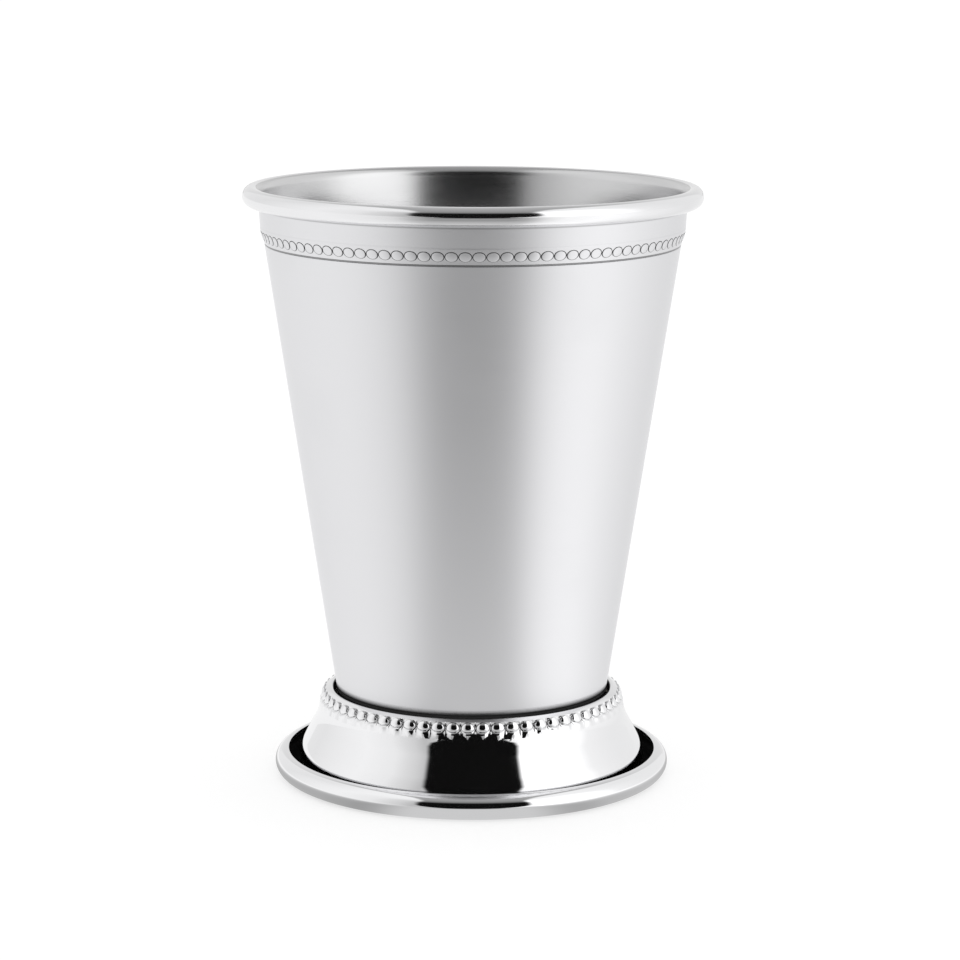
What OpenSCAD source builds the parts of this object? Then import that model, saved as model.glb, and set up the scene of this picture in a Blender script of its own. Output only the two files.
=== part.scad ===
// Footed julep cup in sheet steel: a tapered cup body with a rolled rim and a beaded band, set into a
// flared foot with a beaded shoulder and a rolled edge, and joined to it by a ring of braze.
// Millimetres, +Z up. The origin is on the table, on the cup's axis, and the front looks along -Y.

/* [Overall] */
// Height from the table to the top of the rolled rim
cup_h = 108; // [90:1:130]
// Width over the rolled rim
rim_d = 82.8; // [74:0.2:96]
// Width of the body where the foot's lip goes round it
neck_d = 49.66; // [44:0.02:54]
// Width over the rolled edge of the foot
foot_d = 72.3; // [66:0.1:84]
// Height of the foot, up to the crest of its lip
foot_h = 16.05; // [14:0.05:22]

/* [Body] */
// Thickness of the body's sheet
body_wall = 0.6; // [0.4:0.05:0.9]
// Thickness of the tube that the rolled rim forms
rim_tube_d = 3.5; // [2.8:0.1:4.5]
// Height of the plain collar between the rolled rim's centre and the beaded band
collar_h = 5.75; // [4:0.05:12]
// Lean of the collar from upright, in degrees
collar_lean = 3; // [0:0.5:6]
// Height of the beaded band
band_h = 2.35; // [2.2:0.05:4]
// How far the wall draws in across the beaded band
band_step = 0.7; // [0.2:0.05:1.2]
// How far the cup reaches down into the foot, below the crest of the lip
seat_depth = 8; // [7:0.1:11]
// Outer radius of the corner between the cup's bottom and its wall
corner_r = 3; // [1.5:0.1:4]

/* [Rim beads] */
// Spacing of the beads, from one to the next
rim_bead_pitch = 2.355; // [2:0.005:4]
// Width of one bead
rim_bead_d = 2.2; // [1.4:0.05:2.3]
// How far a bead stands out of the band
rim_bead_rise = 0.15; // [0.1:0.05:0.4]
// Depth of the fine lines above and below the beads
line_depth = 0.15; // [0.05:0.01:0.25]

/* [Foot] */
// Thickness of the foot's sheet
foot_wall = 0.6; // [0.4:0.05:0.9]
// Thickness of the open tube that the foot's rolled edge forms
foot_tube_d = 4.5; // [3.8:0.1:5]
// How far round the rolled edge turns, from flat on the table to its free end on top, in degrees
foot_roll_turn = 186; // [170:1:230]
// Gap between the foot's wall and its rolled edge
gutter_gap = 1.85; // [1.2:0.05:2.6]
// How far the shoulder stands out from the body
shoulder_reach = 3.08; // [2.6:0.02:4.5]
// Radius of the shoulder, outside
shoulder_r = 2; // [1.6:0.05:2.4]
// Radius of the lip's crest, outside
crest_r = 0.75; // [0.65:0.05:1]
// Fall of the lip towards the shoulder, in degrees
lip_fall = 28; // [10:1:40]
// Radius of the bend under the foot, outside
heel_bend_r = 1.3; // [1:0.05:1.6]

/* [Foot beads] */
// Spacing of the beads, from one to the next
foot_bead_pitch = 2.645; // [2.5:0.005:5]
// Width of one bead
foot_bead_d = 2.35; // [1.8:0.05:2.45]
// How far a bead stands out of the shoulder
foot_bead_rise = 0.5; // [0.3:0.05:0.65]

/* [Joint] */
// Gap between the body and the foot's collar, which the braze fills at its lower end
seam_gap = 0.4; // [0.2:0.05:0.8]
// Height of the braze inside that gap
braze_h = 2; // [1:0.1:3]
// Leg of the braze fillet under the collar
fillet_leg = 0.5; // [0.2:0.05:0.8]

/* [Hidden] */
// Largest step between two points on a bend, in degrees
bend_step = 12;
// Facets round the cup and round one bead
round_facets = 180;
bead_facets = 28;
// Direction of the front, and the turn that sets the bead rows against it
front = -90;
foot_bead_turn = -1.2;

// Rolled rim and collar, on the sheet's middle line
rim_bend_r = (rim_tube_d - body_wall) / 2;
rim_centre = [(rim_d - rim_tube_d) / 2, cup_h - rim_tube_d / 2];
// The rim's free edge stops short of the collar by a share of the sheet's thickness
rim_edge_share = 0.2;
rim_edge_gap = body_wall * rim_edge_share;
rim_turn = 360 - acos((rim_tube_d / 2 - body_wall - rim_edge_gap) / (rim_tube_d / 2));
collar_heading = 90 - collar_lean;
collar_top = rim_centre - rim_bend_r * [sin(collar_heading), -cos(collar_heading)];
band_top = collar_top - (collar_top[1] - rim_centre[1] + collar_h) * [tan(collar_lean), 1];
band_bottom = band_top - [band_step, band_h];
band_lean = atan(band_step / band_h);

// Straight wall of the body: its middle line runs from the band to the bottom corner
neck_z = foot_h;
// The neck's middle radius depends on the lean a little, so the lean is found from the outer faces
wall_lean = atan((band_bottom[0] + body_wall / 2 - neck_d / 2) / (band_bottom[1] - neck_z));
function wall_out(z) = neck_d / 2 + (z - neck_z) * tan(wall_lean);
// Radius at height z of a line that runs off the body's outer face by a distance, outwards
function off_wall(z, off) = wall_out(z) + off / cos(wall_lean);
bottom_z = foot_h - seat_depth;
corner_bend_r = corner_r - body_wall / 2;
corner_z = bottom_z + corner_r;
corner_centre = [off_wall(corner_z, -corner_r), corner_z];
// Height at which the corner has become the straight wall
corner_end_z = corner_z - corner_r * sin(wall_lean);
band_foot = [off_wall(band_bottom[1], -body_wall / 2), band_bottom[1]];

// Foot, on its sheet's middle line, from the collar round the lip down to the rolled edge
foot_half = foot_wall / 2;
collar_foot_z = corner_end_z + fillet_leg;
crest_bend_r = crest_r - foot_half;
crest_z = foot_h - crest_r;
crest_centre = [off_wall(crest_z, seam_gap + crest_r), crest_z];
shoulder_bend_r = shoulder_r - foot_half;
shoulder_out = neck_d / 2 + shoulder_reach;
shoulder_x = shoulder_out - shoulder_r;
lip_run = shoulder_x - crest_centre[0];
shoulder_centre = [shoulder_x, crest_z - (shoulder_r - crest_r + lip_run * sin(lip_fall)) / cos(lip_fall)];
foot_roll_bend = (foot_tube_d - foot_wall) / 2;
foot_roll_centre = [(foot_d - foot_tube_d) / 2, foot_tube_d / 2];
foot_edge_x = foot_roll_centre[0] + foot_tube_d / 2 * sin(foot_roll_turn);
heel_x = foot_edge_x - gutter_gap - foot_half;
heel_bend = heel_bend_r - foot_half;
// Upright stretch of the heel between its bend and the flare, in thicknesses of the sheet
heel_rise_share = 2;
heel_z = heel_bend_r + foot_wall * heel_rise_share;

// The flare is an ogee: a hollow sweep under the beads, a straight slope and a full sweep to the heel
flare_out = heel_x - (shoulder_out - foot_half);
flare_drop = shoulder_centre[1] - heel_z;
// Both sweeps together, as a share of the largest radii that still meet without a straight slope
sweep_share = 0.89;
// The hollow sweep's share of the two radii
hollow_share = 0.53;
sweep_sum = sweep_share * (flare_drop * flare_drop + flare_out * flare_out) / (2 * flare_out);
hollow_r = sweep_sum * hollow_share;
full_r = sweep_sum - hollow_r;
slope_run = sqrt(flare_drop * flare_drop + flare_out * flare_out - 2 * sweep_sum * flare_out);
flare_lean = atan2(sweep_sum, slope_run) - atan2(sweep_sum - flare_out, flare_drop);

// Beads of the rim's band
band_mid = (band_top + band_bottom) / 2;
band_face_r = band_mid[0] + body_wall / 2 / cos(band_lean);
rim_beads = round(2 * PI * band_face_r / rim_bead_pitch);
rim_dome_r = (rim_bead_d * rim_bead_d / 4 + rim_bead_rise * rim_bead_rise) / (2 * rim_bead_rise);
// The fine lines lie just outside the band, in line depths
line_offset_share = 2.4;
line_offset = line_depth * line_offset_share;

// Beads of the foot's shoulder: how far up the shoulder's bend they sit, in degrees
foot_bead_angle = 38;
foot_bead_out = shoulder_r + foot_bead_rise - foot_bead_d / 2;
foot_bead_centre = shoulder_centre + foot_bead_out * [cos(foot_bead_angle), sin(foot_bead_angle)];
foot_beads = round(2 * PI * foot_bead_centre[0] / foot_bead_pitch);
// Turn from the front to the gap beside the first bead
foot_gap_turn = foot_bead_turn + 180 / foot_beads;

// A bend is [centre, radius, heading in, heading out]. Headings are degrees from the outward
// direction. A positive radius turns left, a negative one right, and 0 is an end or a sharp corner.
body_bends = [
    [[0, bottom_z + body_wall / 2], 0, 0, 0],
    [corner_centre, corner_bend_r, 0, 90 - wall_lean],
    [band_foot, 0, 90 - wall_lean, 90 - band_lean],
    [band_top, 0, 90 - band_lean, collar_heading],
    [rim_centre, -rim_bend_r, collar_heading, collar_heading - rim_turn]
];
foot_bends = [
    [[off_wall(collar_foot_z, seam_gap + foot_half), collar_foot_z], 0, 90 - wall_lean, 90 - wall_lean],
    [crest_centre, -crest_bend_r, 90 - wall_lean, -lip_fall],
    [shoulder_centre, -shoulder_bend_r, -lip_fall, -90],
    [[shoulder_out - foot_half + hollow_r, shoulder_centre[1]], hollow_r, -90, flare_lean - 90],
    [[heel_x - full_r, heel_z], -full_r, flare_lean - 90, -90],
    [[heel_x + heel_bend, heel_bend_r], heel_bend, -90, 0],
    [foot_roll_centre, foot_roll_bend, 0, foot_roll_turn]
];

function bend_edge(bend, off) =
    let (turn = bend[3] - bend[2], steps = bend[1] == 0 ? 0 : ceil(abs(turn) / bend_step))
    [for (i = [0 : steps])
        let (heading = steps == 0 ? bend[2] + turn / 2 : bend[2] + turn * i / steps,
             reach = steps == 0 ? off / cos(turn / 2) : bend[1] + off)
        bend[0] + reach * [sin(heading), -cos(heading)]];
function sheet_edge(bends, off) = [for (bend = bends) each bend_edge(bend, off)];
function reversed(points) = [for (i = [len(points) - 1 : -1 : 0]) points[i]];

// Section of a bent sheet, from the bends along its middle line
module sheet(bends, wall)
    polygon(concat(sheet_edge(bends, -wall / 2), reversed(sheet_edge(bends, wall / 2))));

// Solid turned about the axis, its start laid between two beads of the row that it carries
module turned(start) rotate([0, 0, front + start]) rotate_extrude($fn = round_facets) children();

// One copy of the child for each bead of a row, the first of them turned from the front
module bead_row(count, turn)
    for (i = [0 : count - 1]) rotate([0, 0, front + turn + i * 360 / count]) children();

// Flat dome on a root that ends inside the wall, standing along +Z on the wall's face
module rim_bead() {
    root = body_wall / 2;
    intersection() {
        translate([0, 0, rim_bead_rise - rim_dome_r]) sphere(r = rim_dome_r, $fn = bead_facets * 2);
        translate([0, 0, -root]) cylinder(r = rim_bead_d / 2, h = root + rim_bead_rise, $fn = bead_facets);
    }
}

// Fine half-round line cut into the outer face, at a height and radius
module fine_line(r, z) turned(0) translate([r, z]) circle(r = line_depth, $fn = bead_facets);

// Cup body: bottom, tapered wall, beaded band, collar and rolled rim, from one sheet
module cup_body() color([0.78, 0.78, 0.8]) {
    upper_z = band_top[1] + line_offset;
    lower_z = band_bottom[1] - line_offset;
    difference() {
        union() {
            turned(0) sheet(body_bends, body_wall);
            bead_row(rim_beads, 180 / rim_beads)
                translate([band_face_r, 0, band_mid[1]]) rotate([0, 90 + band_lean, 0]) rim_bead();
        }
        fine_line(band_top[0] + line_offset * tan(collar_lean) + body_wall / 2 / cos(collar_lean), upper_z);
        fine_line(wall_out(lower_z), lower_z);
    }
}

// Outer halves of the shoulder's round beads, cut off inside the sheet
module foot_bead_caps() difference() {
    bead_row(foot_beads, foot_bead_turn)
        translate([foot_bead_centre[0], 0, foot_bead_centre[1]]) sphere(d = foot_bead_d, $fn = bead_facets);
    turned(foot_gap_turn) translate(shoulder_centre) circle(r = shoulder_bend_r, $fn = bead_facets);
}

// Dents behind the beads, where the sheet is pressed out from inside
module foot_bead_dents()
    bead_row(foot_beads, foot_bead_turn)
        translate([foot_bead_centre[0], 0, foot_bead_centre[1]])
            sphere(r = foot_bead_d / 2 - foot_wall, $fn = bead_facets);

// Foot: collar, lip, beaded shoulder, flare, heel and rolled edge, from one sheet
module foot() color([0.86, 0.86, 0.87]) difference() {
    union() {
        turned(foot_gap_turn) sheet(foot_bends, foot_wall);
        foot_bead_caps();
    }
    foot_bead_dents();
}

// Braze: fills the lower end of the seam and makes a fillet under the foot's collar
module braze_ring() color([0.7, 0.68, 0.62]) {
    top_z = collar_foot_z + braze_h;
    collar_end = [off_wall(collar_foot_z, seam_gap + foot_half), collar_foot_z];
    end_side = [cos(wall_lean), -sin(wall_lean)];
    turned(0) polygon([
        [wall_out(corner_end_z), corner_end_z],
        collar_end,
        collar_end - foot_half * end_side,
        [off_wall(top_z, seam_gap), top_z],
        [wall_out(top_z), top_z]
    ]);
}

cup_body();
foot();
braze_ring();
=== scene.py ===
# %% [markdown]
# # A footed julep cup in steel
# The cup is two pieces of thin sheet steel. The body is spun: a tapered wall with a rolled rim, a beaded
# band and a satin finish that runs round it. The foot is pressed and polished like a mirror, with a row
# of round beads on its shoulder and a rolled edge that stands on the table. A ring of braze joins the
# two, out of sight.
#
# The construction model is loaded first and never moved. Each piece below takes its place and its size
# from it, and then stands for it in the picture.

# %% Load the frame
import math

import bpy
from mathutils import Matrix, Vector


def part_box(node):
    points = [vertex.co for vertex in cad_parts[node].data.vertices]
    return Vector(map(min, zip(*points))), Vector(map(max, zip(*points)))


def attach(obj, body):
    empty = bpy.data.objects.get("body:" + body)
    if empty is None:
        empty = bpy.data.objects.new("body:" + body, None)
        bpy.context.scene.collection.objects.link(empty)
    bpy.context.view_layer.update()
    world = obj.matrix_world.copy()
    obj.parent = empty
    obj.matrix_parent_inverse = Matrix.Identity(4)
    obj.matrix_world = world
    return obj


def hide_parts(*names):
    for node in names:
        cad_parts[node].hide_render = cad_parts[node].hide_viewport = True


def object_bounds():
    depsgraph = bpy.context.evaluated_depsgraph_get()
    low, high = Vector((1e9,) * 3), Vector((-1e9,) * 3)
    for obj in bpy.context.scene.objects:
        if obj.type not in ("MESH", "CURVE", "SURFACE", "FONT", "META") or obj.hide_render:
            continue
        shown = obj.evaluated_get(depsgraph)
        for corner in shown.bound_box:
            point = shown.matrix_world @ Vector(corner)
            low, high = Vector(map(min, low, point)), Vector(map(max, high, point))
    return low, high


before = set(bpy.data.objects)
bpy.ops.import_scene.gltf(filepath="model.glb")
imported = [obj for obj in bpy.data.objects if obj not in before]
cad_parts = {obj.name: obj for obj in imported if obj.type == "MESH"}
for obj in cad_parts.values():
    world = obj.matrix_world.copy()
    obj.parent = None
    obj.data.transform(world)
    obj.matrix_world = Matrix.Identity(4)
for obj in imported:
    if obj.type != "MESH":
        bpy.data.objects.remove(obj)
cad_box = [list(corner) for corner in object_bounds()]
bpy.ops.object.select_all(action="DESELECT")
print("construction model, metres:", cad_box)

# %% [markdown]
# ## Sizes
# The overall sizes come from the boxes of the construction model's own pieces. The small ones, such as
# the thickness of the sheet, are those that the sheet was bent to. Everything is kept in metres, so one
# millimetre has a name and the sizes can be written as a workshop drawing has them. Headings are angles
# from the outward direction, so 0 runs outwards, 90 runs up and -90 runs down.

# %% Name the sizes
MM = 0.001
body_low, body_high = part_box("cup_body")
foot_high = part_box("foot")[1]
braze_low, braze_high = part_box("braze_ring")

SHEET = 0.6 * MM
HALF = SHEET / 2
BODY_STEPS = 256
FOOT_STEPS = 384

# The body, from its rim down
RIM_R = body_high.x
CUP_TOP = body_high.z
RIM_TUBE = 3.5 * MM
COLLAR_H = 5.75 * MM
COLLAR_LEAN = 3
BAND_H = 2.35 * MM
BAND_STEP = 0.7 * MM
NECK_R = 24.83 * MM
NECK_Z = foot_high.z
CUP_BOTTOM = body_low.z
CORNER_R = 3 * MM

# The foot: its rolled edge, the gutter behind that, and then from its lip down
FOOT_R = foot_high.x
FOOT_TUBE = 4.5 * MM
FOOT_ROLL_TURN = 186
GUTTER = 1.85 * MM
SEAM = 0.4 * MM
CREST_R = 0.75 * MM
LIP_FALL = 28
SHOULDER_R = 2 * MM
SHOULDER_OUT = NECK_R + 3.08 * MM
HEEL_R = 1.3 * MM
print("cup", round(CUP_TOP / MM, 2), "mm high,", round(2 * RIM_R / MM, 2), "mm over the rim")


def sine(degrees):
    return math.sin(math.radians(degrees))


def cosine(degrees):
    return math.cos(math.radians(degrees))


def ease(value, start, end):
    """0 before start, 1 after end, and smooth in between."""
    share = min(max((value - start) / (end - start), 0), 1)
    return share * share * (3 - 2 * share)


def mix(first, second, share):
    """Goes from the first to the second. It takes numbers here, and the wires of a material later on."""
    return first + (second - first) * share


# %% [markdown]
# ## Drawing a bent sheet
# Both pieces of the cup are sheet of one thickness, turned about the same axis. A metal spinner thinks of
# such a piece as a section: straight runs joined by bends. The same way works here. One vertex is the
# pen. It is extruded along each straight run and spun about the centre of each bend, and the line it
# leaves is the middle of the sheet. Turning that line about the axis makes a shell, and Solidify gives
# the shell its thickness to both sides. This keeps every bend a true arc, and the wall even, which
# stacked cylinders would not.

# %% A bend of the sheet
class Bend:
    """An arc of the line that is drawn. A positive radius turns left, and 0 is an end or a corner."""

    def __init__(self, x, z, radius=0.0, heading_in=0.0, heading_out=0.0, steps=1, rows=1):
        self.centre = Vector((x, 0, z))
        self.radius = radius
        self.heading_in = heading_in
        self.heading_out = heading_out
        self.steps = steps
        self.rows = rows

    def point(self, heading):
        return self.centre + self.radius * Vector((sine(heading), 0, -cosine(heading)))


# %% Draw the section with one vertex
SHORTEST_RUN = MM / 1000


def trace_section(name, bends):
    """Draws the bends, and the straight runs between them, as one line in the XZ plane."""
    bpy.ops.mesh.primitive_plane_add(size=MM)
    section = bpy.context.object
    section.name = section.data.name = name
    bpy.ops.object.mode_set(mode="EDIT")
    bpy.ops.mesh.merge(type="CENTER")
    pen = bends[0].point(bends[0].heading_in)
    bpy.ops.transform.translate(value=pen)
    for bend in bends:
        run = bend.point(bend.heading_in) - pen
        if run.length > SHORTEST_RUN:
            for _ in range(bend.rows):
                bpy.ops.mesh.extrude_region_move(TRANSFORM_OT_translate={"value": run / bend.rows})
        turn = math.radians(bend.heading_out - bend.heading_in)
        if turn:
            bpy.ops.mesh.spin(steps=bend.steps, angle=turn, center=bend.centre, axis=(0, 1, 0))
        pen = bend.point(bend.heading_out)
    bpy.ops.object.mode_set(mode="OBJECT")
    return section


# %% Turn the section, and give the shell its thickness
# Points closer than this are one point
SAME_PLACE = MM / 200


def pick(*things):
    """Selects these objects alone, the first of them active."""
    bpy.ops.object.select_all(action="DESELECT")
    for thing in things:
        thing.select_set(True)
    bpy.context.view_layer.objects.active = things[0]


def turn_about_axis(section, steps):
    pick(section)
    bpy.ops.object.mode_set(mode="EDIT")
    bpy.ops.mesh.select_all(action="SELECT")
    bpy.ops.mesh.spin(steps=steps, angle=math.tau, center=(0, 0, 0), axis=(0, 0, 1))
    bpy.ops.object.mode_set(mode="OBJECT")
    close_seams(section)


def close_seams(thing):
    """Merges points that lie on each other and turns all faces the same way."""
    pick(thing)
    bpy.ops.object.mode_set(mode="EDIT")
    bpy.ops.mesh.select_all(action="SELECT")
    bpy.ops.mesh.remove_doubles(threshold=SAME_PLACE)
    bpy.ops.mesh.normals_make_consistent(inside=False)
    bpy.ops.object.mode_set(mode="OBJECT")


def thicken(shell, offset=0, even=True):
    """Gives a shell its thickness: to both sides for an offset of 0, and behind its face for -1.

    An even one keeps the full thickness where the sheet bends.
    """
    pick(shell)
    bpy.ops.object.modifier_add(type="SOLIDIFY")
    wall = shell.modifiers[-1]
    wall.thickness = SHEET
    wall.offset = offset
    wall.use_even_offset = even
    bpy.ops.object.modifier_apply(modifier=wall.name)


def smooth(thing, sharp=40):
    pick(thing)
    bpy.ops.object.shade_smooth_by_angle(angle=math.radians(sharp))
    faces = sum(len(face.vertices) - 2 for face in thing.data.polygons)
    print(thing.name, "has", faces, "triangles")


# %% [markdown]
# ## Cup body
# The body is one sheet from the middle of its bottom to the free edge inside the rolled rim. Its wall is
# a straight taper. Near the top it steps out across the beaded band, with a fine pressed line above and
# below, and then runs almost upright as a plain collar. The rim is the sheet curled outwards and down
# into a tube. The taper is found from two radii: the wall's at the foot's lip, and its own below the
# band.

# %% Work out the body's section
rim_bend_r = (RIM_TUBE - SHEET) / 2
rim_centre = Vector((RIM_R - RIM_TUBE / 2, 0, CUP_TOP - RIM_TUBE / 2))
RIM_TURN = 306
collar_heading = 90 - COLLAR_LEAN
rim_end_heading = collar_heading - RIM_TURN
collar_top = rim_centre - rim_bend_r * Vector((sine(collar_heading), 0, -cosine(collar_heading)))
collar_run = collar_top.z - rim_centre.z + COLLAR_H
collar_tan = sine(COLLAR_LEAN) / cosine(COLLAR_LEAN)
band_top = collar_top - collar_run * Vector((collar_tan, 0, 1))
band_bottom = band_top - Vector((BAND_STEP, 0, BAND_H))
band_lean = math.degrees(math.atan(BAND_STEP / BAND_H))
wall_tan = (band_bottom.x + HALF - NECK_R) / (band_bottom.z - NECK_Z)
wall_lean = math.degrees(math.atan(wall_tan))


def off_wall(z, off):
    """Radius at height z of a line that runs off the body's outer face by a distance, outwards."""
    return NECK_R + (z - NECK_Z) * wall_tan + off / cosine(wall_lean)


def middle_of_wall(z):
    return off_wall(z, -HALF)


def middle_of_collar(z):
    return band_top.x + (z - band_top.z) * collar_tan


# %% Make room for the fine lines, the rim's painted shadow and the shade painted above the seam
LINE_HALF = 0.19 * MM
LINE_OFF = 0.36 * MM
LINE_FLAT = 0.4
# A thin shadow of the rolled rim is painted on the collar as a line, this far under the tube's centre
RIM_SHADOW_DROP = 2.02 * MM
RIM_SHADOW_STRENGTH = 0.55
# Shade is painted on the wall just above the seam, where it reflects the dark gap, between these heights
SHADE_LOW = NECK_Z + 0.4 * MM
SHADE_HIGH = NECK_Z + 1.4 * MM


def rings_at(z, middle):
    """Four rings for a fine line across the wall, whose middle line is a function of height."""
    heights = [z + share * LINE_HALF for share in (-1, -LINE_FLAT, LINE_FLAT, 1)]
    return [Bend(middle(height), height) for height in heights]


# %% Spin the body
corner_z = CUP_BOTTOM + CORNER_R
low_line_z = band_bottom.z - LINE_OFF
high_line_z = band_top.z + LINE_OFF
rim_shadow_z = rim_centre.z - RIM_SHADOW_DROP
wall_rings = rings_at(low_line_z, middle_of_wall)
# The plain wall up to the first of them is one long run, drawn in twelve steps
wall_rings[0].rows = 12
body_bends = [
    Bend(0, CUP_BOTTOM + HALF),
    Bend(off_wall(corner_z, -CORNER_R), corner_z, CORNER_R - HALF, 0, 90 - wall_lean, steps=8, rows=5),
    Bend(middle_of_wall(SHADE_LOW), SHADE_LOW),
    Bend(middle_of_wall(SHADE_HIGH), SHADE_HIGH),
    *wall_rings,
    Bend(middle_of_wall(band_bottom.z), band_bottom.z),
    Bend(band_top.x, band_top.z, rows=2),
    *rings_at(high_line_z, middle_of_collar),
    *rings_at(rim_shadow_z, middle_of_collar),
    Bend(rim_centre.x, rim_centre.z, -rim_bend_r, collar_heading, rim_end_heading, steps=34, rows=3),
]
cup_body = trace_section("spun_body", body_bends)
turn_about_axis(cup_body, BODY_STEPS)
thicken(cup_body)
print("wall leans", round(wall_lean, 2), "degrees")

# %% Press the fine lines and straighten the inside
# Each line's height, the lean of the sheet there and its depth
FINE_LINES = [(low_line_z, wall_lean, 0.15 * MM), (high_line_z, COLLAR_LEAN, 0.01 * MM)]
# How much shade is painted into the pressed fine lines
LINE_SHADE = 0.6
STRAIGHT_LOW = band_bottom.z - MM
STRAIGHT_HIGH = rim_centre.z + 0.04 * MM
straight_in = middle_of_wall(STRAIGHT_LOW) - HALF / cosine(wall_lean)
straight_out = collar_top.x - HALF


def middle_at(z):
    """Radius of the sheet's middle line below, on and above the beaded band."""
    if z < band_bottom.z:
        return middle_of_wall(z)
    if z < band_top.z:
        return band_bottom.x + BAND_STEP * (z - band_bottom.z) / BAND_H
    return middle_of_collar(z)


def in_fine_line(radius, z):
    """Depth of the fine line at a point of the outer face, or 0."""
    for line_z, lean, depth in FINE_LINES:
        face_z = line_z - HALF * sine(lean)
        if radius > middle_at(z) and abs(z - face_z) < LINE_HALF / 2 and radius < rim_centre.x:
            return depth
    return 0


def pressed_radius(radius, z):
    if radius < middle_at(z) and STRAIGHT_LOW < z < STRAIGHT_HIGH:
        share = (z - STRAIGHT_LOW) / (STRAIGHT_HIGH - STRAIGHT_LOW)
        return mix(straight_in, straight_out, share)
    return radius - in_fine_line(radius, z)


for vertex in cup_body.data.vertices:
    reach = vertex.co.to_2d().length
    if reach > MM:
        scale = pressed_radius(reach, vertex.co.z) / reach
        vertex.co = (vertex.co.x * scale, vertex.co.y * scale, vertex.co.z)
smooth(cup_body)


# %% Paint shade into the fine lines, under the rim and above the seam
# The points' attribute that holds the painted shade
SHADE_MARK = "line"


def paint_shade(thing, how_shaded):
    """Stores on each point how much shade is painted there, from its radius and height."""
    marks = thing.data.attributes
    dark = marks[SHADE_MARK] if SHADE_MARK in marks else marks.new(SHADE_MARK, "FLOAT", "POINT")
    for vertex in thing.data.vertices:
        old = dark.data[vertex.index].value
        dark.data[vertex.index].value = max(old, how_shaded(vertex.co.to_2d().length, vertex.co.z))


def body_shade(radius, z):
    """Painted shade in the fine lines, the rim's painted shadow and shade painted outside above the seam."""
    pressed = in_fine_line(radius, z) / FINE_LINES[0][2]
    outside = radius > middle_at(z) and corner_z < z < rim_centre.z - RIM_TUBE / 2
    rim_shadow = RIM_SHADOW_STRENGTH * (1 - ease(abs(z - rim_shadow_z), 0, LINE_HALF))
    seam_shade = 1 - ease(z, SHADE_LOW, SHADE_HIGH)
    return max(LINE_SHADE * pressed, outside * rim_shadow, outside * seam_shade)


paint_shade(cup_body, body_shade)

# %% [markdown]
# ## Rim beads
# The band under the collar carries a row of flat oval beads, side by side, each with a thin line of shade
# painted round it, as the crease between beads lies in shade. One bead is modelled: a small disc, extruded
# ring by ring and lowered to a very flat dome. A value stored on its points marks the painted shade at its
# edge, and the finish darkens it. The bead is then copied round the band.

# %% Model one rim bead
RIM_BEAD_PITCH = 2.355 * MM
RIM_BEAD_HALF_WIDE = RIM_BEAD_PITCH / 2
RIM_BEAD_HALF_HIGH = 0.95 * MM
RIM_BEAD_RISE = 0.12 * MM
BEAD_SIDES = 24
# Radius and height of each ring, as shares of the bead's own, with how dark the painted shade is there
RING_SHARES = [
    (0.35, 0.9, 0), (0.62, 0.7, 0), (0.78, 0.52, 0), (0.85, 0.4, 0.15),
    (0.9, 0.18, 1), (1, -0.05, 1), (1.001, -1, 1),
]
# How much painted shade stays at the foot of the bead, where light reaches, and where that starts and ends
LOW_SHADE_SHARE = 0.6
LOW_START = 0.4
LOW_END = 0.95


def model_rim_bead():
    bpy.ops.mesh.primitive_circle_add(vertices=BEAD_SIDES, radius=RING_SHARES[0][0], fill_type="TRIFAN")
    bead = bpy.context.object
    bead.name = "rim_bead"
    bpy.ops.object.mode_set(mode="EDIT")
    bpy.ops.transform.translate(value=(0, 0, RING_SHARES[0][1]))
    bpy.ops.mesh.select_all(action="SELECT")
    bpy.ops.mesh.region_to_loop()
    for inner, outer in zip(RING_SHARES, RING_SHARES[1:]):
        bpy.ops.mesh.extrude_edges_move()
        grow = outer[0] / inner[0]
        bpy.ops.transform.resize(value=(grow, grow, 1), center_override=(0, 0, 0))
        bpy.ops.transform.translate(value=(0, 0, outer[1] - inner[1]))
    bpy.ops.mesh.edge_face_add()
    bpy.ops.object.mode_set(mode="OBJECT")
    crown = min(bead.data.vertices, key=lambda vertex: vertex.co.to_2d().length)
    crown.co.z = 1
    return bead


def paint_bead_shade(bead):
    """Stores on each point the shade painted round the bead. The bead's foot looks along +X."""
    dark = bead.data.attributes.new(SHADE_MARK, "FLOAT", "POINT")
    for vertex in bead.data.vertices:
        share = vertex.co.to_2d().length
        nearest = min(RING_SHARES, key=lambda ring: abs(ring[0] - share))
        at_foot = ease(vertex.co.x, LOW_START, LOW_END)
        dark.data[vertex.index].value = nearest[2] * mix(1, LOW_SHADE_SHARE, at_foot)


def size_bead(bead):
    bead.data.transform(Matrix.Diagonal((RIM_BEAD_HALF_HIGH, RIM_BEAD_HALF_WIDE, RIM_BEAD_RISE, 1)))
    close_seams(bead)


# %% Copy it round the band
def copy_round(piece, count, start, place):
    """Copies a piece round the axis, each copy with its own mesh, and joins them as one."""
    copies = []
    for number in range(count):
        twin = piece.copy()
        twin.data = piece.data.copy()
        turn = Matrix.Rotation(math.radians(start + 360 * number / count), 4, "Z")
        twin.data.transform(turn @ place)
        bpy.context.collection.objects.link(twin)
        copies.append(twin)
    bpy.data.objects.remove(piece)
    pick(*copies)
    bpy.ops.object.join()
    return bpy.context.object


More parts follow.
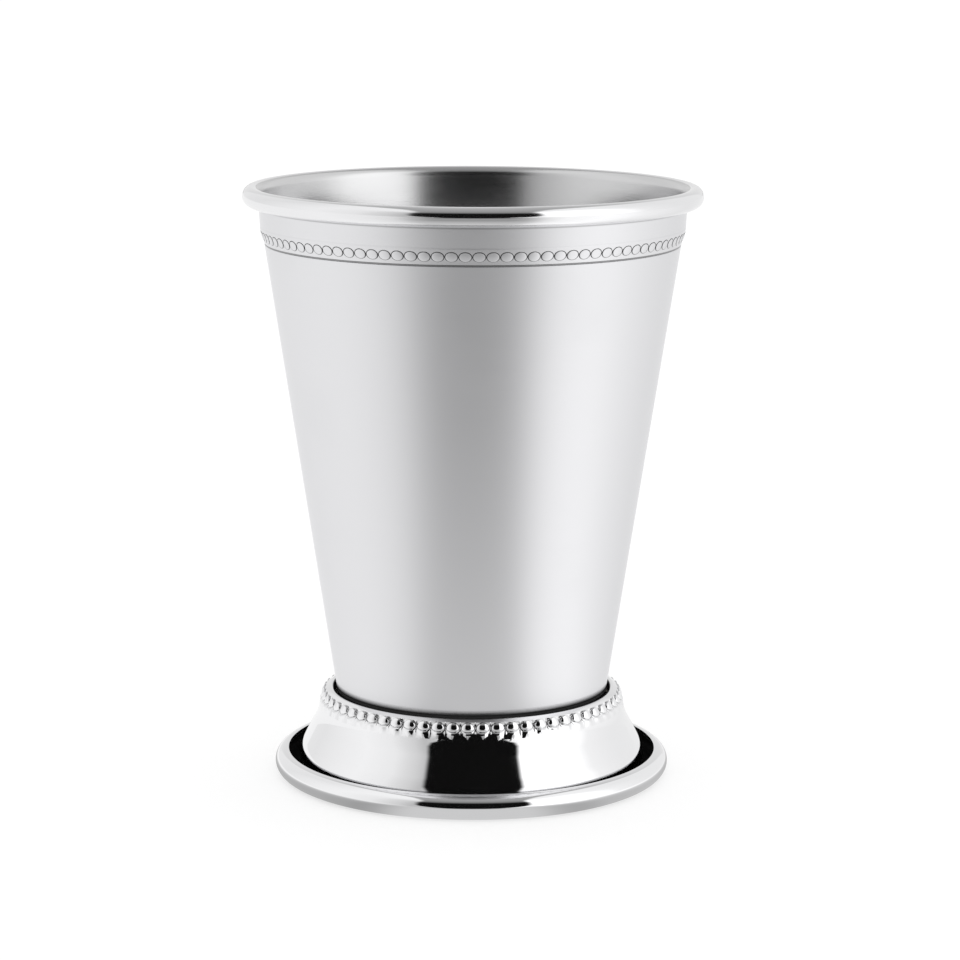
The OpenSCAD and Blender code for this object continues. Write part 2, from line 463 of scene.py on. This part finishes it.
FRONT = -90
band_middle = (band_top + band_bottom) / 2
band_face_r = band_middle.x + HALF / cosine(band_lean)
rim_bead_count = round(math.tau * band_face_r / RIM_BEAD_PITCH)
on_band = Matrix.Translation((band_face_r, 0, band_middle.z))
on_band @= Matrix.Rotation(math.radians(90 + band_lean), 4, "Y")
rim_bead = model_rim_bead()
paint_bead_shade(rim_bead)
size_bead(rim_bead)
rim_beads = copy_round(rim_bead, rim_bead_count, FRONT + 180 / rim_bead_count, on_band)
rim_beads.name = rim_beads.data.name = "rim_beads"
smooth(rim_beads, sharp=60)
print(rim_bead_count, "rim beads")

# %% [markdown]
# ## Foot
# The foot is one sheet too. It starts as a short collar beside the body, turns over a rounded lip, falls
# to a shoulder with a row of pressed beads, sweeps out as an ogee, turns under at the heel and rolls up
# and over into the edge that it stands on. That edge is an open curl: its end lies on top, and a narrow
# gutter is left between it and the flare. All of it but the shoulder is turned like the body. The
# shoulder isn't round, so it is left open in the section, and is filled with one tile for each bead. The
# section follows the outer face and not the middle of the sheet, as the tiles do, and the sheet's
# thickness goes inwards from it.

# %% Work out the foot's section
crest_z = NECK_Z - CREST_R
crest_centre = Vector((off_wall(crest_z, SEAM + CREST_R), 0, crest_z))
shoulder_x = SHOULDER_OUT - SHOULDER_R
lip_run = shoulder_x - crest_centre.x
shoulder_drop = (SHOULDER_R - CREST_R + lip_run * sine(LIP_FALL)) / cosine(LIP_FALL)
shoulder_centre = Vector((shoulder_x, 0, crest_z - shoulder_drop))
foot_roll_r = FOOT_TUBE / 2 - HALF
foot_roll_centre = Vector((FOOT_R - FOOT_TUBE / 2, 0, FOOT_TUBE / 2))
foot_edge_x = foot_roll_centre.x + FOOT_TUBE / 2 * sine(FOOT_ROLL_TURN)
heel_x = foot_edge_x - GUTTER - HALF
heel_z = HEEL_R + 2 * SHEET
heel_bend_r = HEEL_R - HALF

# The flare is two arcs and the straight slope between them: a hollow one on top and a full one at the heel
flare_top_x = SHOULDER_OUT - HALF
flare_out = heel_x - flare_top_x
flare_drop = shoulder_centre.z - heel_z
SWEEP_SHARE = 0.89
HOLLOW_SHARE = 0.53
sweep_sum = SWEEP_SHARE * (flare_drop**2 + flare_out**2) / (2 * flare_out)
hollow_r = sweep_sum * HOLLOW_SHARE
full_r = sweep_sum - hollow_r
slope_run = math.sqrt(flare_drop**2 + flare_out**2 - 2 * sweep_sum * flare_out)
flare_lean = math.degrees(math.atan2(sweep_sum, slope_run) - math.atan2(sweep_sum - flare_out, flare_drop))
hollow_centre = Vector((flare_top_x + hollow_r, 0, shoulder_centre.z))
hollow_face_r = hollow_r - HALF
print("the flare leans", round(flare_lean, 2), "degrees")

# %% [markdown]
# ### The beaded shoulder
# A press pushes each bead out of the shoulder as part of a ball, with a sharp groove all round it, and
# the beads almost touch. Between two beads the groove runs on below them as a shallow valley. One tile
# covers one bead. It is a small disc, grown ring by ring until its edge is square, and then laid on the
# shoulder: each point moves along the shoulder's normal, out to the ball or down into the groove. Because
# the tile's edge has as many points as the turned rings above and below it, tiles and rings merge into
# one sheet, and the sheet's thickness leaves a dent behind each bead.

# %% Find points on the shoulder's outer face
BAND_ABOVE = 0.14 * MM
BAND_BELOW = 1.15 * MM
shoulder_turn = 90 - LIP_FALL
shoulder_run = SHOULDER_R * math.radians(shoulder_turn)
band_low = -BAND_BELOW
band_high = shoulder_run + BAND_ABOVE


def shoulder_point(run):
    """Point and outward normal of the foot's face, by the run up it from the shoulder's widest line."""
    if run < 0:
        angle = math.degrees(-run / hollow_face_r)
        normal = Vector((cosine(angle), 0, sine(angle)))
        return hollow_centre - hollow_face_r * normal, normal
    angle = min(math.degrees(run / SHOULDER_R), shoulder_turn)
    normal = Vector((cosine(angle), 0, sine(angle)))
    beyond = max(run - shoulder_run, 0)
    along = Vector((-sine(shoulder_turn), 0, cosine(shoulder_turn)))
    return shoulder_centre + SHOULDER_R * normal + beyond * along, normal


# %% Say how far the face stands out or in
FOOT_BEAD_R = 1.95 * MM
bead_centre = Vector((25.78 * MM, 0, 14.245 * MM))
foot_bead_count = 64
BEAD_RUN = 1.08 * MM
BEAD_HALF_WIDE = 1.2 * MM
BEAD_HALF_HIGH = 0.87 * MM
GROOVE_ABOVE = 0.22 * MM
GROOVE_BELOW = 0.4 * MM
GROOVE_BESIDE = 0.62 * MM
# It deepens towards the next bead between these shares of the tile's half width
BESIDE_START = 0.5
BESIDE_END = 0.9
# The valley's highest point and depth there, its half width at the top and at the end, and its soft edge
VALLEY_TOP = 0.2 * MM
VALLEY_DEPTH = 0.36 * MM
VALLEY_EDGE_TOP = 0.35
VALLEY_EDGE_LOW = 0.75
VALLEY_SOFT = 0.14 * MM
# The groove's own edge starts and ends at these shares of the bead's reach
GROOVE_START = 0.93
GROOVE_END = 1.05
# Above and below the bead the groove follows its outline as an arc this wide, and ends in this distance
SCALLOP_HALF = 1.5 * MM
SCALLOP_LEAST = 0.62
PAST_START = 0.1 * MM
PAST_END = 0.28 * MM
bead_row_r = shoulder_point(BEAD_RUN)[0].x
tile_half = math.pi * bead_row_r / foot_bead_count


def groove_at(across, run):
    """How sure it is that a point lies in the groove or past it, and past it; and the groove's depth."""
    up = run - BEAD_RUN
    share = math.hypot(across / BEAD_HALF_WIDE, up / BEAD_HALF_HIGH)
    scallop = SCALLOP_LEAST + (1 - SCALLOP_LEAST) * math.sqrt(1 - (across / SCALLOP_HALF) ** 2)
    past = ease(abs(up) - BEAD_HALF_HIGH * scallop, PAST_START, PAST_END)
    below_to_above = min(max(0.5 + up / BEAD_HALF_HIGH / 2, 0), 1)
    beside = ease(abs(across), BESIDE_START * tile_half, BESIDE_END * tile_half)
    depth = mix(mix(GROOVE_BELOW, GROOVE_ABOVE, below_to_above), GROOVE_BESIDE, beside)
    # Between two beads the groove runs on below them as a valley, which narrows and rises to nothing
    fall = min(max((VALLEY_TOP - run) / (VALLEY_TOP + BAND_BELOW), 0), 1)
    edge = mix(VALLEY_EDGE_TOP, VALLEY_EDGE_LOW, fall) * tile_half
    in_valley = ease(abs(across), edge - VALLEY_SOFT, edge + VALLEY_SOFT) if up < 0 else 0
    valley_depth = mix(VALLEY_DEPTH, 0, fall)
    depth = mix(depth, mix(depth, valley_depth, past), in_valley)
    return ease(share, GROOVE_START, GROOVE_END), past * (1 - in_valley), depth


def on_shoulder(across, run):
    """Place of a tile's point, from its place on the flat tile."""
    turn = Matrix.Rotation(across / bead_row_r, 3, "Z")
    base, normal = shoulder_point(run)
    start, out = turn @ base, turn @ normal
    to_ball = start - bead_centre
    nearest = to_ball.dot(out)
    reach = nearest**2 - to_ball.length_squared + FOOT_BEAD_R**2
    ball = math.sqrt(max(reach, 0)) - nearest
    grooved, past, depth = groove_at(across, run)
    return start + mix(mix(ball, -depth, grooved), 0, past) * out


print(foot_bead_count, "foot beads, one every", round(2 * tile_half / MM, 2), "mm")

# %% Model one tile
SPOKES = 24
# Rings over the bead, as shares of its reach, and then those from there to the tile's edge. While the tile
# is still a flat disc, the second kind have the radii 2, 3, 4 and so on.
BEAD_RINGS = [0.2, 0.42, 0.62, 0.78, 0.9, 0.97, 1.02, 1.08]
EDGE_RINGS = [0.12, 0.26, 0.45, 0.7, 1]
FIRST_EDGE_RING = 2
# How much closer the edge's points stand towards its corners, where the groove is sharpest
CORNER_PULL = 0.45
# How dark the shade painted into the groove round each bead is
BEAD_SHADE = 0.6
# The painted shade ends between these shares of the bead's half width and half height
DARK_SHARE = 1.1
LIGHT_SHARE = 1.4
# How much of the painted shade is left under the bead, where the light reaches
LOW_GROOVE_SHADE = 0.3


def edge_of_tile(spoke):
    """Point on the tile's square edge that a spoke leads to."""
    side, along = divmod(spoke + SPOKES // 8, SPOKES // 4)
    step = 2 * along / (SPOKES // 4) - 1
    late = step * (1 + CORNER_PULL - CORNER_PULL * step**2)
    across, up = [(1, late), (-step, 1), (-1, -late), (step, -1)][side % 4]
    return across * tile_half, mix(band_low, band_high, 0.5 + up / 2)


def lay_on_shoulder(tile):
    """Moves the flat tile's points to their places, and marks the groove's painted shade for the finish."""
    dark = tile.data.attributes.new(SHADE_MARK, "FLOAT", "POINT")
    for vertex in tile.data.vertices:
        ring = vertex.co.length
        across, up = vertex.co.x * BEAD_HALF_WIDE, vertex.co.y * BEAD_HALF_HIGH
        if round(ring) >= FIRST_EDGE_RING:
            spoke = round(math.atan2(vertex.co.y, vertex.co.x) / math.tau * SPOKES) % SPOKES
            shrink = BEAD_RINGS[-1] / ring
            edge_across, edge_run = edge_of_tile(spoke)
            share = EDGE_RINGS[round(ring) - FIRST_EDGE_RING]
            across = mix(across * shrink, edge_across, share)
            up = mix(up * shrink, edge_run - BEAD_RUN, share)
        run = BEAD_RUN + up
        reach = math.hypot(across / BEAD_HALF_WIDE, up / BEAD_HALF_HIGH)
        grooved = groove_at(across, run)[0]
        below = ease(-up, 0, BEAD_HALF_HIGH)
        groove_shade = BEAD_SHADE * mix(1, LOW_GROOVE_SHADE, below)
        dark.data[vertex.index].value = groove_shade * grooved * (1 - ease(reach, DARK_SHARE, LIGHT_SHARE))
        vertex.co = on_shoulder(across, run)


def model_tile():
    bpy.ops.mesh.primitive_circle_add(vertices=SPOKES, radius=BEAD_RINGS[0], fill_type="TRIFAN")
    tile = bpy.context.object
    tile.name = "shoulder_tile"
    bpy.ops.object.mode_set(mode="EDIT")
    bpy.ops.mesh.region_to_loop()
    rings = BEAD_RINGS + [FIRST_EDGE_RING + number for number in range(len(EDGE_RINGS))]
    for inner, outer in zip(rings, rings[1:]):
        bpy.ops.mesh.extrude_edges_move()
        bpy.ops.transform.resize(value=(outer / inner,) * 3, center_override=(0, 0, 0))
    bpy.ops.object.mode_set(mode="OBJECT")
    lay_on_shoulder(tile)
    return tile


# %% Turn the lip and the flare
COLLAR_END_Z = braze_low.z + 0.5 * MM


def turned_lip():
    lip_end = shoulder_point(band_high)[0]
    up_the_wall = 90 - wall_lean
    return trace_section("foot_lip", [
        Bend(off_wall(COLLAR_END_Z, SEAM + HALF), COLLAR_END_Z, -HALF, up_the_wall, up_the_wall),
        Bend(crest_centre.x, crest_centre.z, -CREST_R, up_the_wall, -LIP_FALL, steps=12),
        Bend(lip_end.x, lip_end.z),
    ])


def turned_flare():
    hollow_in = -90 + math.degrees(BAND_BELOW / hollow_face_r)
    slope = flare_lean - 90
    return trace_section("foot_flare", [
        Bend(hollow_centre.x, hollow_centre.z, hollow_face_r, hollow_in, slope, steps=8),
        Bend(heel_x - full_r, heel_z, -full_r - HALF, slope, -90, steps=8),
        Bend(heel_x + heel_bend_r, HEEL_R, heel_bend_r - HALF, -90, 0, steps=6),
        Bend(foot_roll_centre.x, foot_roll_centre.z, foot_roll_r - HALF, 0, FOOT_ROLL_TURN, steps=18),
    ])


# %% Set the tiles between them
FOOT_BEAD_TURN = -1.2
turned = turned_lip()
pick(turned, turned_flare())
bpy.ops.object.join()
turn_about_axis(turned, FOOT_STEPS)
pressed_foot = copy_round(model_tile(), foot_bead_count, 0, Matrix())
pick(pressed_foot, turned)
bpy.ops.object.join()
pressed_foot.name = pressed_foot.data.name = "pressed_foot"
close_seams(pressed_foot)
pressed_foot.data.transform(Matrix.Rotation(math.radians(FRONT + FOOT_BEAD_TURN), 4, "Z"))

# %% Give the foot its thickness, inwards from the face
# Behind the sharp grooves between the beads, an even offset would throw long spikes into the cup
lip_top = max(pressed_foot.data.polygons, key=lambda face: face.center.z)
print("the lip's highest face looks", "up" if lip_top.normal.z > 0 else "down")
if lip_top.normal.z < 0:
    pressed_foot.data.flip_normals()
thicken(pressed_foot, -1, even=False)
smooth(pressed_foot)

# %% Paint shade into the seam and the gutter
# The shade painted by the seam fades out between two radii of the lip, and that painted in the gutter
# between two heights, which lie higher on the curl's inner side than on the flare
heel_centre = Vector((heel_x + heel_bend_r, 0, HEEL_R))
LIP_DARK_R = crest_centre.x - 0.38 * MM
LIP_LIGHT_R = crest_centre.x - 0.24 * MM
GUTTER_DARK_Z = 1.2 * MM
GUTTER_LIGHT_Z = 2.3 * MM
CURL_DARK_Z = 3.8 * MM
CURL_LIGHT_Z = 4.4 * MM
LIP_LOW_Z = crest_centre.z - MM
CURL_START_R = foot_edge_x - MM / 10


def in_gutter(radius, z):
    """True inside the rolled edge, and on the faces of the heel that look up beside it."""
    if math.hypot(radius - foot_roll_centre.x, z - foot_roll_centre.z) < foot_roll_r:
        return True
    if radius < heel_centre.x and z < heel_centre.z:
        return math.hypot(radius - heel_centre.x, z - heel_centre.z) < heel_bend_r
    return heel_x < radius < foot_edge_x and HALF < z < GUTTER_LIGHT_Z


# Painted shade on the lip beside the seam, and in the gutter and the rolled edge
def foot_shade(radius, z):
    if z > LIP_LOW_Z:
        return 1 - ease(radius, LIP_DARK_R, LIP_LIGHT_R)
    if radius > CURL_START_R:
        return in_gutter(radius, z) * (1 - ease(z, CURL_DARK_Z, CURL_LIGHT_Z))
    return in_gutter(radius, z) * (1 - ease(z, GUTTER_DARK_Z, GUTTER_LIGHT_Z))


paint_shade(pressed_foot, foot_shade)

# %% [markdown]
# ## Braze
# The braze shows only from below, as a narrow ring between the body and the end of the foot's collar.
# Molten metal draws itself into the seam and leaves a hollow fillet, so its outer face is an arc that
# bends inwards.

# %% Turn the braze
BRAZE_STEPS = 192
# The middle of the fillet's hollow face, from the end of the foot's collar
FILLET_IN = 0.3 * MM
FILLET_DOWN = 0.22 * MM
# How far the braze sinks in the middle of the seam
SINK = 0.15 * MM


def braze_section():
    inner_low = Vector((off_wall(braze_low.z, 0), 0, braze_low.z))
    top = Vector((off_wall(braze_high.z, SEAM / 2), 0, braze_high.z))
    collar_end = Vector((off_wall(COLLAR_END_Z, SEAM + HALF), 0, COLLAR_END_Z))
    return [
        Bend(inner_low.x, inner_low.z),
        Bend(collar_end.x - FILLET_IN, collar_end.z - FILLET_DOWN),
        Bend(collar_end.x, collar_end.z),
        Bend(off_wall(COLLAR_END_Z, SEAM), COLLAR_END_Z),
        Bend(off_wall(braze_high.z, SEAM), braze_high.z, rows=2),
        Bend(top.x, top.z - SINK),
        Bend(off_wall(braze_high.z, 0), braze_high.z),
        Bend(inner_low.x, inner_low.z, rows=2),
    ]


braze = trace_section("braze_fillet", braze_section())
turn_about_axis(braze, BRAZE_STEPS)
smooth(braze)

# %% [markdown]
# ## A shorthand for finishes
# A finish is worked out by a chain of small nodes. Written one node at a time it is hard to read, so two
# small classes stand in for them. A `Wire` is one output that can be added, multiplied and divided like
# a number. A `Graph` adds any other node: its type, its settings and what goes into its sockets.

# %% Wires and graphs
class Wire:
    """An output socket with Python's own operators."""

    def __init__(self, graph, socket):
        self.graph = graph
        self.socket = socket

    def maths(self, operation, first, second=0.0):
        return self.graph.add("ShaderNodeMath", {"operation": operation}, {0: first, 1: second})

    def __add__(self, other):
        return self.maths("ADD", self, other)

    def __sub__(self, other):
        return self.maths("SUBTRACT", self, other)

    def __rsub__(self, other):
        return self.maths("SUBTRACT", other, self)

    def __mul__(self, other):
        return self.maths("MULTIPLY", self, other)

    def __truediv__(self, other):
        return self.maths("DIVIDE", self, other)

    def __abs__(self):
        return self.maths("ABSOLUTE", self)

    __radd__ = __add__
    __rmul__ = __mul__


class Graph:
    """A node tree that is filled from nothing."""

    def __init__(self, tree):
        self.tree = tree
        tree.nodes.clear()

    def add(self, kind, settings=None, sockets=None, output=0):
        node = self.tree.nodes.new(kind)
        for name, value in (settings or {}).items():
            if name == "stops":
                self.set_stops(node.color_ramp, value)
            else:
                setattr(node, name, value)
        for place, value in (sockets or {}).items():
            if isinstance(value, Wire):
                self.tree.links.new(value.socket, node.inputs[place])
            else:
                node.inputs[place].default_value = value
        return Wire(self, node.outputs[output] if node.outputs else None)

    def set_stops(self, ramp, stops):
        while len(ramp.elements) < len(stops):
            ramp.elements.new(0.5)
        for element, (position, level) in zip(ramp.elements, stops):
            element.position = position
            element.color = (level, level, level, 1)

    def ease(self, value, start, end):
        """0 before start, 1 after end, and smooth in between."""
        settings = {"interpolation_type": "SMOOTHSTEP"}
        return self.add("ShaderNodeMapRange", settings, {"Value": value, "From Min": start, "From Max": end})

    def mix(self, factor, first, second):
        """Mixes two colours, which go into the node's sockets 6 and 7."""
        sockets = {"Factor": factor, 6: first, 7: second}
        return self.add("ShaderNodeMix", {"data_type": "RGBA"}, sockets, 2)

    def noise(self, vector, scale, detail=2.0):
        return self.add("ShaderNodeTexNoise", {}, {"Vector": vector, "Scale": scale, "Detail": detail})


# %% [markdown]
# ## Finishes
# Satin steel is brushed round the cup with a fine abrasive. The marks run round it, so a reflection is
# spread up and down far more than sideways: the body shows soft upright bands. That is what the
# anisotropic setting does, with a tangent that runs round the axis. Thin noise, stretched round the cup,
# breaks up the gloss and the surface a little. Mirror steel has almost no spread, only a few faint wipe
# marks.

# %% Steel
# Where the painted shade is full, this share of the colour is replaced by the shade colour
SHADE_MOST = 0.99
SHADE_COLOUR = (0.003, 0.003, 0.003, 1)
# Where the painted shade is deepest, in the seam and the gutter, the steel is rougher and hardly shines
DEEP_SHADE_START = 0.8
DEEP_SHADE_ROUGH = 0.4
DEEP_SHADE_METAL_LOSS = 0.9
# The noise is drawn out round the cup, and its scales are per metre up the wall
BRUSH_STRETCH = 0.05
FINE_SCALE = 9000
BROAD_SCALE = 1400
SMUDGE_SCALE = 55
BROAD_GLOSS = 0.6
BROAD_HEIGHT = 0.5
SMUDGE_START = 0.5
SMUDGE_END = 0.75


def steel(name, colour, gloss, spread, brush_gloss, brush_height, wipe):
    """Steel with a base roughness, an uneven spread and marks that run round the axis."""
    material = bpy.data.materials.new(name)
    material.use_nodes = True
    graph = Graph(material.node_tree)
    place = graph.add("ShaderNodeTexCoord", output="Object")
    draw_out = {"Vector": place, "Scale": (BRUSH_STRETCH, BRUSH_STRETCH, 1)}
    stretched = graph.add("ShaderNodeMapping", {}, draw_out)
    fine = graph.noise(stretched, FINE_SCALE, detail=3)
    broad = graph.noise(stretched, BROAD_SCALE)
    smudge = graph.ease(graph.noise(place, SMUDGE_SCALE, detail=4), SMUDGE_START, SMUDGE_END)
    marks = (fine - 0.5) * brush_gloss + (broad - 0.5) * (brush_gloss * BROAD_GLOSS)
    # The points' painted shade darkens the colour and takes the shine off the steel
    line = graph.add("ShaderNodeAttribute", {"attribute_name": SHADE_MARK}, output="Fac")
    deep_shade = graph.ease(line, DEEP_SHADE_START, 1)
    rough = marks + smudge * wipe + gloss + deep_shade * DEEP_SHADE_ROUGH
    colour_and_shade = graph.mix(line * SHADE_MOST, colour + (1,), SHADE_COLOUR)
    bump = {"Strength": brush_height, "Distance": MM / 100, "Height": fine + broad * BROAD_HEIGHT}
    normal = graph.add("ShaderNodeBump", {}, bump)
    tangent = graph.add("ShaderNodeTangent", {"direction_type": "RADIAL", "axis": "Z"})
    shader = graph.add("ShaderNodeBsdfPrincipled", {}, {
        "Base Color": colour_and_shade,
        "Metallic": 1 - deep_shade * DEEP_SHADE_METAL_LOSS,
        "Specular IOR Level": 0.0,
        "Roughness": rough,
        "Anisotropic": spread,
        "Normal": normal,
        "Tangent": tangent,
    })
    graph.add("ShaderNodeOutputMaterial", {}, {"Surface": shader})
    return material


satin_outside = steel("satin_outside", (0.80, 0.80, 0.815), 0.30, 0.7, 0.05, 0.25, 0.03)
# The inside is the same steel, and its darker colour is painted shade for the inside of the cup
shaded_satin_inside = steel("shaded_satin_inside", (0.65, 0.65, 0.655), 0.20, 0.6, 0.06, 0.3, 0.03)
polished_rim = steel("polished_rim", (0.84, 0.84, 0.85), 0.09, 0.0, 0.02, 0.05, 0.02)
mirror_foot = steel("mirror_foot", (0.88, 0.88, 0.89), 0.045, 0.0, 0.012, 0.03, 0.02)
braze_metal = steel("braze_metal", (0.70, 0.67, 0.60), 0.38, 0.0, 0.1, 0.4, 0.08)

# %% [markdown]
# ### Which face has which finish
# The body has three finishes on one sheet: satin outside, a softer satin inside that is darker by painted
# shade, and polish on the rolled rim. Each face is given its finish by where it lies and which way it looks.

# %% Give the body's faces their finishes
# Degrees past the rim's crest, inwards, at which the satin of the inside starts
RIM_INSIDE_FROM = 20
# A face this close to the tube's outside belongs to the rolled rim
RIM_MARGIN = 0.05 * MM
# The places of the three finishes in the body's list
OUTSIDE, INSIDE, RIM = range(3)
# A normal that points up by more than this is the floor's, inside the cup
FLOOR_NORMAL = 0.5


def finish_of_body(face):
    place = face.center
    radius = math.hypot(place.x, place.y)
    outward = (face.normal.x * place.x + face.normal.y * place.y) / max(radius, MM)
    from_rim = math.hypot(radius - rim_centre.x, place.z - rim_centre.z)
    past_crest = math.degrees(math.atan2(rim_centre.x - radius, place.z - rim_centre.z))
    if RIM_INSIDE_FROM < past_crest < 90 and from_rim > rim_bend_r:
        return INSIDE
    if from_rim < RIM_TUBE / 2 + RIM_MARGIN:
        return RIM
    looks_in = outward < 0 or (face.normal.z > FLOOR_NORMAL and place.z < corner_z)
    return INSIDE if looks_in else OUTSIDE


for finish in (satin_outside, shaded_satin_inside, polished_rim):
    cup_body.data.materials.append(finish)
for face in cup_body.data.polygons:
    face.material_index = finish_of_body(face)
chosen = [face.material_index for face in cup_body.data.polygons]
print("faces outside", chosen.count(OUTSIDE), "inside", chosen.count(INSIDE), "on the rim", chosen.count(RIM))
rim_beads.data.materials.append(satin_outside)
pressed_foot.data.materials.append(mirror_foot)
braze.data.materials.append(braze_metal)

# %% Stand for the construction model's pieces
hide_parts("cup_body")
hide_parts("foot")
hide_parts("braze_ring")
for piece, slot in (
    (cup_body, "satin_steel"),
    (rim_beads, "satin_steel"),
    (pressed_foot, "polished_steel"),
    (braze, "braze_metal"),
):
    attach(piece, "root")

# %% [markdown]
# ## Studio
# Polished metal shows the room, so the room is most of the picture. The studio is a white one: a long
# soft light on each side, and a dark aisle that runs from the front, where the camera stands, up over the
# cup and to the back, where it fades. Only glossy rays see this room. Camera rays see plain white, and
# light on the floor is plain too.

# %% Draw the room that metal reflects
WHITE = (1, 1, 1, 1)
# How bright the walls are, by degrees from the front, positive to the right
ROOM_STOPS = [
    (-180, 0.9), (-132, 0.86), (-115, 0.92), (-102, 0.96), (-84, 1.0), (-60, 0.92), (-51, 0.8),
    (-42, 0.7), (-34, 0.55), (34, 1.1), (40, 1.45), (74, 1.45), (95, 1.0), (108, 0.95), (123, 0.91),
    (150, 0.9), (180, 0.9),
]
CEILING = 1.0
CEILING_START = 40
CEILING_END = 65
# How bright the aisle is, and half its width, by degrees over the cup: 0 is the front and 180 the back
AISLE_STOPS = [
    (0, 0.004), (43, 0.004), (48, 0.05), (56, 0.22), (70, 0.34), (92, 0.4), (121, 0.48),
    (150, 0.72), (180, 0.85),
]
AISLE_HALF_STOPS = [
    (0, 0.27), (4, 0.42), (10, 0.51), (20, 0.53), (35, 0.5), (43, 0.475), (60, 0.38), (90, 0.33), (180, 0.33),
]
AISLE_MIDDLE = 0.02
AISLE_SOFT = 0.03
# A ramp holds levels from 0 to 1, so a level is stored as its share of the most that is used
MOST = 2


def parts_of(graph, vector):
    """X, Y and Z of a place or a direction."""
    split = graph.add("ShaderNodeSeparateXYZ", {}, {"Vector": vector}).socket.node
    return [Wire(graph, output) for output in split.outputs]


def angle_from(graph, side, ahead):
    turn = graph.add("ShaderNodeMath", {"operation": "ARCTAN2"}, {0: side, 1: ahead})
    return turn * math.degrees(1)


def read_stops(graph, stops, value):
    """Reads a list of (place, level) as a smooth chain of levels, at a value between its ends."""
    low, high = stops[0][0], stops[-1][0]
    shares = [((place - low) / (high - low), level / MOST) for place, level in stops]
    ramp = graph.add("ShaderNodeValToRGB", {"stops": shares}, {"Fac": (value - low) / (high - low)})
    return ramp * MOST


world = bpy.data.worlds.new("studio")
bpy.context.scene.world = world
world.use_nodes = True
room = Graph(world.node_tree)
x, y, z = parts_of(room, room.add("ShaderNodeTexCoord", output="Generated"))
wall_level = read_stops(room, ROOM_STOPS, angle_from(room, x, y * -1))
elevation = room.add("ShaderNodeMath", {"operation": "ARCSINE"}, {0: z}) * math.degrees(1)
wall_level = mix(wall_level, CEILING, room.ease(elevation, CEILING_START, CEILING_END))
tilt = angle_from(room, z, y * -1)
aisle_level = read_stops(room, AISLE_STOPS, tilt)
aisle_half = read_stops(room, AISLE_HALF_STOPS, tilt)
past_aisle = abs(x - AISLE_MIDDLE) - aisle_half
seen_by_metal = mix(aisle_level, wall_level, room.ease(past_aisle, -AISLE_SOFT, AISLE_SOFT))
glossy = room.add("ShaderNodeLightPath", output="Is Glossy Ray")
background = room.add("ShaderNodeBackground", {}, {
    "Color": WHITE,
    "Strength": mix(1, seen_by_metal, glossy),
})
room.add("ShaderNodeOutputWorld", {}, {"Surface": background})

# %% Lay the floor
FLOOR_SIZE = 20
FLOOR_GREY = (0.5, 0.5, 0.5, 1)
FLOOR_GLOW = 0.56
# How bright metal sees the floor, by degrees from the front, positive to the right
TABLE_STOPS = [
    (-180, 0.95), (-106, 1.0), (-76, 1.02), (-52, 0.95), (-40, 0.85), (-28, 0.65), (25, 0.65),
    (35, 0.9), (45, 1.1), (67, 1.2), (80, 1.15), (94, 1.03), (110, 0.97), (131, 0.9), (180, 0.95),
]
# In front it grows darker with the distance from the axis, in metres
FRONT_STOPS = [
    (0, 0.66), (0.05, 0.66), (0.1, 0.56), (0.2, 0.36), (0.35, 0.34), (0.55, 0.4), (0.9, 0.25), (2, 0.05),
]
FRONT_EDGE = 16
FRONT_END = 38
# Beside and behind the cup a shadow of the cup is painted on the floor close to the foot, as metal sees it,
# up to this distance from the axis
NEAR_SHADOW_LEVEL = 0.48
NEAR_DARK = 37 * MM
NEAR_LIGHT = 58 * MM

bpy.ops.mesh.primitive_plane_add(size=FLOOR_SIZE)
floor = bpy.context.object
floor.name = "floor"
floor.location.z = cad_box[0][2]
paper = bpy.data.materials.new("white_table")
paper.use_nodes = True
table = Graph(paper.node_tree)
spot = table.add("ShaderNodeTexCoord", output="Object")
across, back, _ = parts_of(table, spot)
bearing = angle_from(table, across, back * -1)
distance = table.add("ShaderNodeVectorMath", {"operation": "LENGTH"}, {0: spot}, 1)
front_share = 1 - table.ease(abs(bearing), FRONT_EDGE, FRONT_END)
near_shadow = mix(NEAR_SHADOW_LEVEL, 1, table.ease(distance, NEAR_DARK, NEAR_LIGHT))
table_level = read_stops(table, TABLE_STOPS, bearing) * near_shadow
table_level = mix(table_level, read_stops(table, FRONT_STOPS, distance), front_share)
matte = table.add("ShaderNodeBsdfDiffuse", {}, {"Color": FLOOR_GREY})
shine = table.add("ShaderNodeEmission", {}, {"Strength": FLOOR_GLOW})
seen_plain = table.add("ShaderNodeAddShader", {}, {0: matte, 1: shine})
seen_in_metal = table.add("ShaderNodeEmission", {}, {"Strength": table_level})
path = table.add("ShaderNodeLightPath", output="Is Glossy Ray")
both = table.add("ShaderNodeMixShader", {}, {0: path, 1: seen_plain, 2: seen_in_metal})
table.add("ShaderNodeOutputMaterial", {}, {"Surface": both})
floor.data.materials.append(paper)

# %% [markdown]
# ## Camera
# The photograph was taken from a little above the rim, about 59 cm in front of the cup's axis, with a
# long lens. The camera is turned a fifth of a degree about its own line of sight, as the photograph is.

# %% Set the camera
CAMERA_PLACE = (1.426 * MM, -588.92 * MM, 162.74 * MM)
PITCH = 10.44
ROLL = 0.2
# The sensor's width and the lens, in millimetres as Blender has them
SENSOR = 36
LENS = 123.2
bpy.ops.object.camera_add(location=CAMERA_PLACE)
camera = bpy.context.object
aim = Matrix.Rotation(math.radians(90 - PITCH), 4, "X") @ Matrix.Rotation(math.radians(ROLL), 4, "Z")
camera.rotation_euler = aim.to_euler()
camera.data.sensor_width = SENSOR
camera.data.lens = LENS
bpy.context.scene.camera = camera
bpy.context.scene.view_settings.view_transform = "Standard"
print("the camera looks down by", PITCH, "degrees through a lens of", LENS, "mm")
